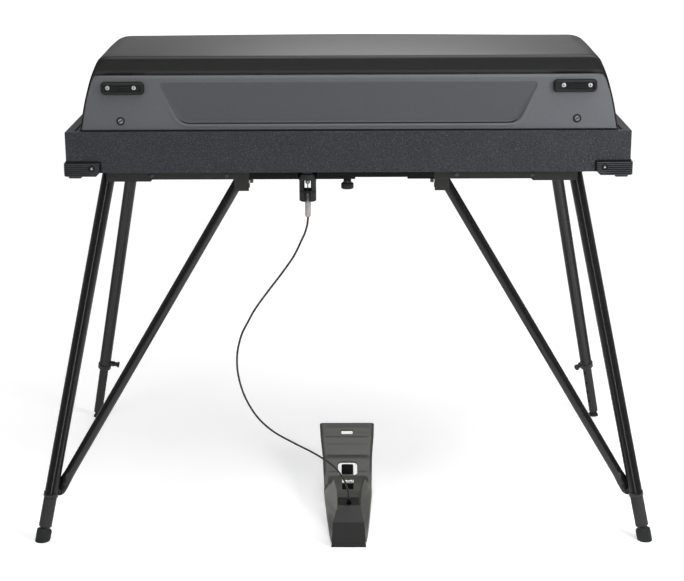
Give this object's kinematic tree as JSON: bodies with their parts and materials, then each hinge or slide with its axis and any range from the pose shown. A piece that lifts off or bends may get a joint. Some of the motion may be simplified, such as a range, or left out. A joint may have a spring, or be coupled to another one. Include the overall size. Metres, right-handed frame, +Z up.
{
  "type": "electric piano",
  "caption": "Stage electric piano with a lift-off hood, splayed braced legs that lengthen at the player's side, and a floor pedal that works the dampers by a cable.",
  "frame": {"origin": "on the floor, midway between the outermost points of the stand and pedal in X and Y", "axes": "+Z up; -Y towards the picture's viewer, at the back of the piano; +Y towards the player; +X towards the bass keys, at the right of the picture"},
  "size_m": [1.3146, 0.801, 1.03],
  "materials": {
    "covering": "grained vinyl cloth",
    "hood": "moulded, satin",
    "rear_panel": "grained",
    "black_moulding": "ribbed, satin",
    "black_steel": "satin enamel",
    "rubber": "matt",
    "white_keys": "polished",
    "black_keys": "polished",
    "action_wood": "plain",
    "bright_steel": "plated",
    "pickup_aluminium": "brushed",
    "panel_metal": "satin enamel",
    "knob_plastic": "fluted",
    "circuit_board": "lacquered board",
    "adjuster_metal": "anodised",
    "cable_sheath": "smooth",
    "pedal_metal": "hammered grey enamel",
    "pedal_cover": "satin enamel"
  },
  "bodies": {
    "frame": {"case_body": "covering", "key_slip": "covering", "cheek_block_left": "black_moulding", "cheek_block_right": "black_moulding", "corner_protector_rear_left": "black_moulding", "corner_protector_rear_right": "black_moulding", "corner_protector_front_left": "black_moulding", "corner_protector_front_right": "black_moulding", "keyboard": "white_keys", "action_rail": "action_wood", "harp": "bright_steel", "pickup_rail": "pickup_aluminium", "control_panel": "panel_metal", "rear_rail_left": "black_steel", "rear_rail_right": "black_steel", "front_leg_plate_left": "black_steel", "front_leg_plate_right": "black_steel", "rear_leg_left": "black_steel", "rear_leg_right": "black_steel", "brace_left": "black_steel", "brace_right": "black_steel", "front_leg_tube_left": "black_steel", "front_leg_tube_right": "black_steel", "cable_bracket": "black_steel", "cable_adjuster": "adjuster_metal", "pedal_cable": "cable_sheath", "pedal_base": "pedal_cover", "pedal_toe_cover": "pedal_cover", "pedal_hinge_pin": "bright_steel", "pedal_spring": "bright_steel", "preamp_board": "circuit_board"},
    "hood": {"hood_shell": "hood", "hood_rear_panel": "rear_panel", "rear_bumper_left": "rubber", "rear_bumper_right": "rubber"},
    "treadle": {"pedal_treadle": "pedal_metal"},
    "damper": {"damper_rail": "action_wood", "pull_rod": "bright_steel"},
    "slide_left": {"front_leg_slide_left": "black_steel"},
    "slide_right": {"front_leg_slide_right": "black_steel"},
    "glide_left": {"front_foot_left": "rubber"},
    "glide_right": {"front_foot_right": "rubber"},
    "plunger_left": {"plunger_left": "black_moulding"},
    "plunger_right": {"plunger_right": "black_moulding"},
    "rear_foot_left": {"rear_foot_left": "rubber"},
    "rear_foot_right": {"rear_foot_right": "rubber"},
    "thumbscrew": {"rail_thumbscrew": "black_moulding"},
    "volume": {"knob_volume": "knob_plastic"},
    "bass": {"knob_bass": "knob_plastic"},
    "treble": {"knob_treble": "knob_plastic"},
    "key_c4": {"key_c4": "white_keys"},
    "hammer_c4": {"hammer_c4": "action_wood"},
    "key_c_sharp4": {"key_c_sharp4": "black_keys"},
    "hammer_c_sharp4": {"hammer_c_sharp4": "action_wood"},
    "key_d4": {"key_d4": "white_keys"},
    "hammer_d4": {"hammer_d4": "action_wood"},
    "key_d_sharp4": {"key_d_sharp4": "black_keys"},
    "hammer_d_sharp4": {"hammer_d_sharp4": "action_wood"},
    "key_e4": {"key_e4": "white_keys"},
    "hammer_e4": {"hammer_e4": "action_wood"}
  },
  "joints": [
    {"name": "hood_lift", "type": "slide", "parent": "frame", "child": "hood", "axis": [0, 0, 1], "range_m": [0, 0.3]},
    {"name": "key_c4_press", "type": "hinge", "parent": "frame", "child": "key_c4", "pos_m": [0.013, 0.047, 0.83], "axis": [-1, 0, 0], "range_deg": [0, 2.39], "stiffness_Nm_per_rad": 1, "springref_deg": -7.45},
    {"name": "hammer_c4_swing", "type": "hinge", "parent": "frame", "child": "hammer_c4", "pos_m": [0.013, -0.134, 0.872], "axis": [1, 0, 0], "range_deg": [0, 27]},
    {"name": "key_c_sharp4_press", "type": "hinge", "parent": "frame", "child": "key_c_sharp4", "pos_m": [0.013, 0.047, 0.83], "axis": [-1, 0, 0], "range_deg": [0, 2.39], "stiffness_Nm_per_rad": 1, "springref_deg": -7.45},
    {"name": "hammer_c_sharp4_swing", "type": "hinge", "parent": "frame", "child": "hammer_c_sharp4", "pos_m": [0.013, -0.134, 0.872], "axis": [1, 0, 0], "range_deg": [0, 27]},
    {"name": "key_d4_press", "type": "hinge", "parent": "frame", "child": "key_d4", "pos_m": [0.013, 0.047, 0.83], "axis": [-1, 0, 0], "range_deg": [0, 2.39], "stiffness_Nm_per_rad": 1, "springref_deg": -7.45},
    {"name": "hammer_d4_swing", "type": "hinge", "parent": "frame", "child": "hammer_d4", "pos_m": [0.013, -0.134, 0.872], "axis": [1, 0, 0], "range_deg": [0, 27]},
    {"name": "key_d_sharp4_press", "type": "hinge", "parent": "frame", "child": "key_d_sharp4", "pos_m": [0.013, 0.047, 0.83], "axis": [-1, 0, 0], "range_deg": [0, 2.39], "stiffness_Nm_per_rad": 1, "springref_deg": -7.45},
    {"name": "hammer_d_sharp4_swing", "type": "hinge", "parent": "frame", "child": "hammer_d_sharp4", "pos_m": [0.013, -0.134, 0.872], "axis": [1, 0, 0], "range_deg": [0, 27]},
    {"name": "key_e4_press", "type": "hinge", "parent": "frame", "child": "key_e4", "pos_m": [0.013, 0.047, 0.83], "axis": [-1, 0, 0], "range_deg": [0, 2.39], "stiffness_Nm_per_rad": 1, "springref_deg": -7.45},
    {"name": "hammer_e4_swing", "type": "hinge", "parent": "frame", "child": "hammer_e4", "pos_m": [0.013, -0.134, 0.872], "axis": [1, 0, 0], "range_deg": [0, 27]},
    {"name": "pedal_press", "type": "hinge", "parent": "frame", "child": "treadle", "pos_m": [0.012, -0.379, 0.018], "axis": [-1, 0, 0], "range_deg": [0, 4], "stiffness_Nm_per_rad": 60, "springref_deg": -4.58, "deforming": ["pedal_spring"]},
    {"name": "damper_lift", "type": "slide", "parent": "frame", "child": "damper", "axis": [0, 0, -1], "range_m": [0, 0.008]},
    {"name": "front_leg_left_length", "type": "slide", "parent": "frame", "child": "slide_left", "axis": [0.1938, -0.1938, 0.9617], "range_m": [0, 0.06]},
    {"name": "glide_left_tilt", "type": "hinge", "parent": "slide_left", "child": "glide_left", "pos_m": [-0.63698, 0.38498, 0.015], "axis": [1, 0, 0], "range_deg": [-4, 4]},
    {"name": "plunger_left_pull", "type": "slide", "parent": "frame", "child": "plunger_left", "axis": [0.981, 0.0383, -0.19], "range_m": [0, 0.006], "stiffness_N_per_m": 900, "springref_m": -0.003},
    {"name": "rear_foot_left_level", "type": "slide", "parent": "frame", "child": "rear_foot_left", "axis": [0.1938, 0.195, 0.9615], "range_m": [0, 0.002]},
    {"name": "front_leg_right_length", "type": "slide", "parent": "frame", "child": "slide_right", "axis": [-0.1938, -0.1938, 0.9617], "range_m": [0, 0.06]},
    {"name": "glide_right_tilt", "type": "hinge", "parent": "slide_right", "child": "glide_right", "pos_m": [0.63698, 0.38498, 0.015], "axis": [1, 0, 0], "range_deg": [-4, 4]},
    {"name": "plunger_right_pull", "type": "slide", "parent": "frame", "child": "plunger_right", "axis": [-0.7459, -0.6076, -0.2728], "range_m": [0, 0.006], "stiffness_N_per_m": 900, "springref_m": -0.003},
    {"name": "rear_foot_right_level", "type": "slide", "parent": "frame", "child": "rear_foot_right", "axis": [-0.1938, 0.195, 0.9615], "range_m": [0, 0.002]},
    {"name": "thumbscrew_turn", "type": "hinge", "parent": "frame", "child": "thumbscrew", "pos_m": [0.0115, -0.243, 0.76], "axis": [0, 0, 1], "continuous": true},
    {"name": "volume_turn", "type": "hinge", "parent": "frame", "child": "volume", "pos_m": [0.483, 0.137, 0.8855], "axis": [0, 1, 0], "range_deg": [-140, 140]},
    {"name": "bass_turn", "type": "hinge", "parent": "frame", "child": "bass", "pos_m": [0.421, 0.137, 0.8855], "axis": [0, 1, 0], "range_deg": [-140, 140]},
    {"name": "treble_turn", "type": "hinge", "parent": "frame", "child": "treble", "pos_m": [0.359, 0.137, 0.8855], "axis": [0, 1, 0], "range_deg": [-140, 140]}
  ],
  "couplings": [
    {"joint": "hammer_c4_swing", "follows": "key_c4_press", "ratio": 11.2},
    {"joint": "hammer_c_sharp4_swing", "follows": "key_c_sharp4_press", "ratio": 11.2},
    {"joint": "hammer_d4_swing", "follows": "key_d4_press", "ratio": 11.2},
    {"joint": "hammer_d_sharp4_swing", "follows": "key_d_sharp4_press", "ratio": 11.2},
    {"joint": "hammer_e4_swing", "follows": "key_e4_press", "ratio": 11.2},
    {"joint": "damper_lift", "follows": "pedal_press", "m_per_rad": 0.105}
  ]
}
